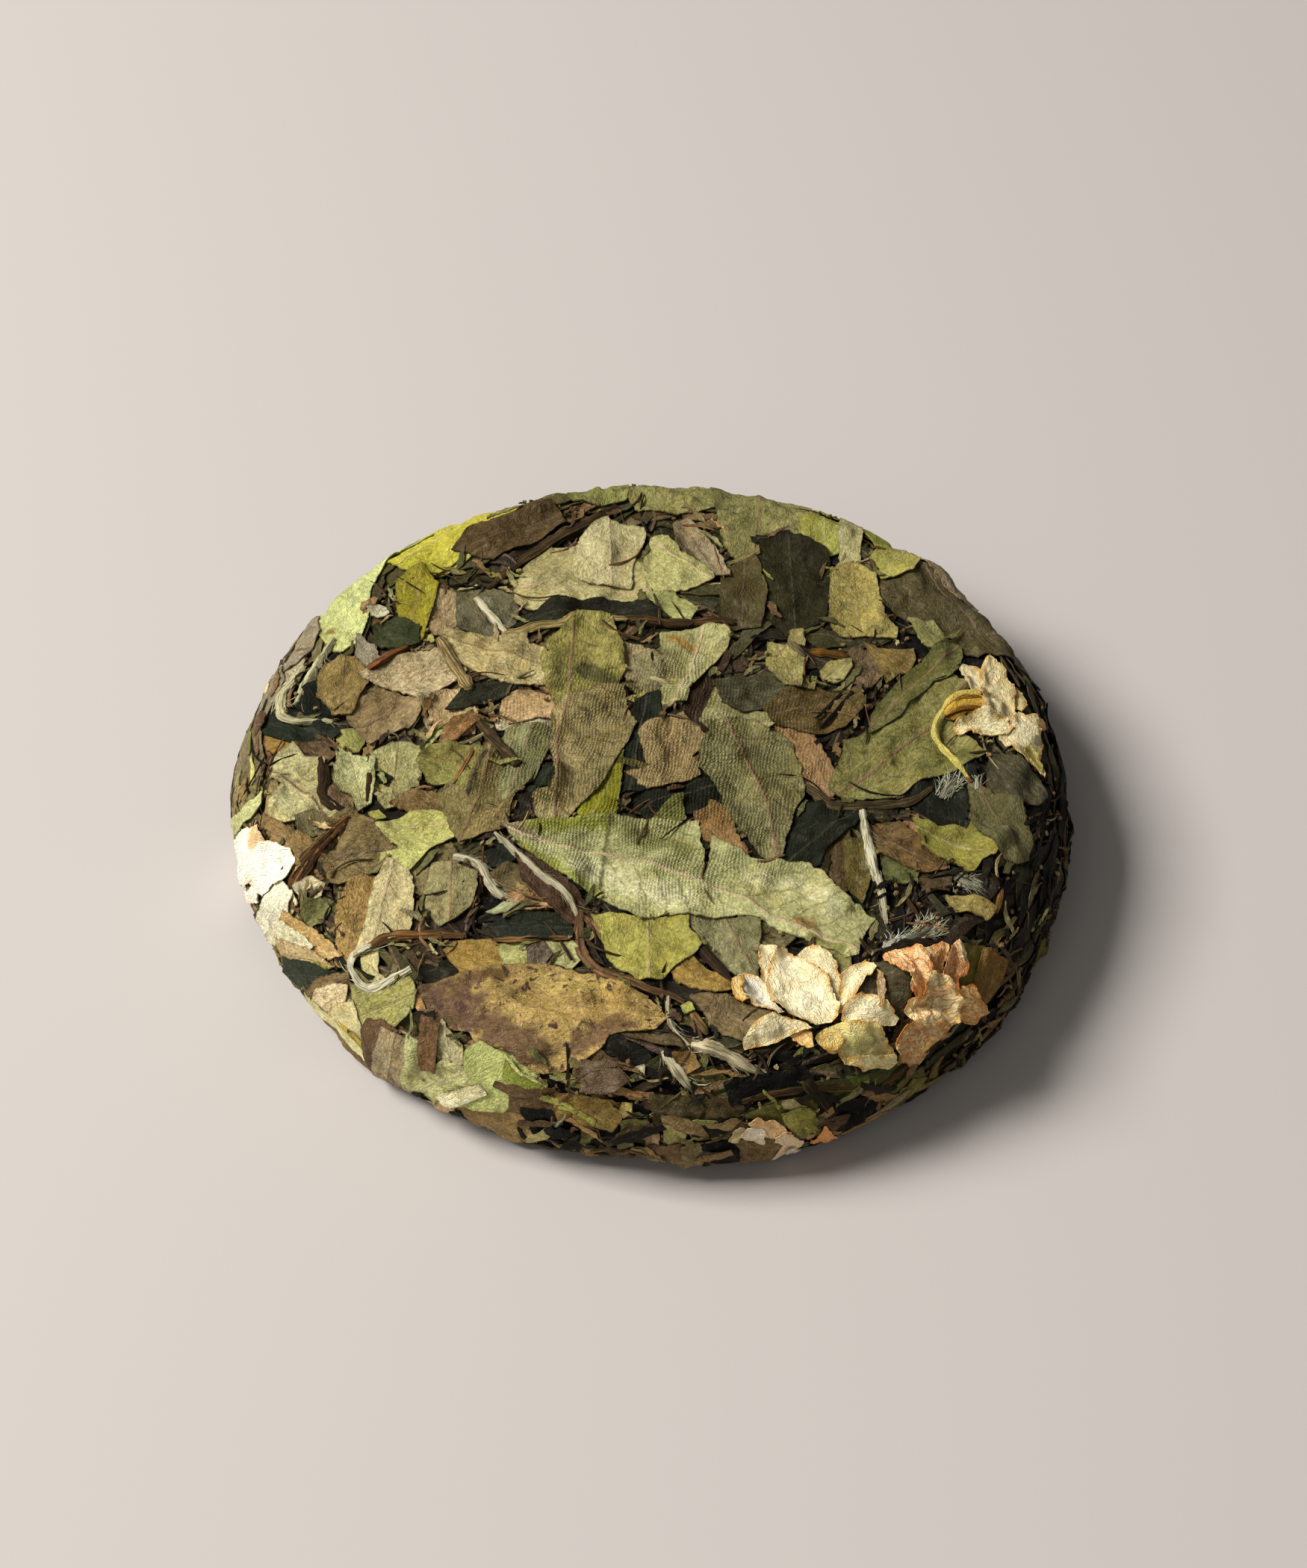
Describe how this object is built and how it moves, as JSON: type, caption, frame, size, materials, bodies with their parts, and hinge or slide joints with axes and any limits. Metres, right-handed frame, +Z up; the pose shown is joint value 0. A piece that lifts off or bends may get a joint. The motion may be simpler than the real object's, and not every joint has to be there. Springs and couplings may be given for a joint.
{
  "type": "pressed tea cake",
  "caption": "Small round pressed cake of white tea: flat loose-leaf disc with a rounded rim and jasmine flowers pressed into its top and side.",
  "frame": {"origin": "centre of the cake's footprint, on the surface it rests on", "axes": "+Z up through the middle of the cake, -Y towards the side the picture is taken from, +X to the picture's right"},
  "size_m": [0.1084, 0.1086, 0.0196],
  "materials": {
    "pressed_leaves": "dry withered leaf, matte with a faint sheen",
    "cream_petal": "dry pressed petal, matte",
    "browned_petal": "dry crumpled petal, matte",
    "white_petal": "dry pressed petal, matte"
  },
  "bodies": {
    "root": {"tea_cake": "pressed_leaves", "jasmine_front": "cream_petal", "jasmine_front_browned": "browned_petal", "jasmine_right": "cream_petal", "jasmine_left_rim": "white_petal", "jasmine_front_rim": "white_petal"}
  },
  "joints": []
}
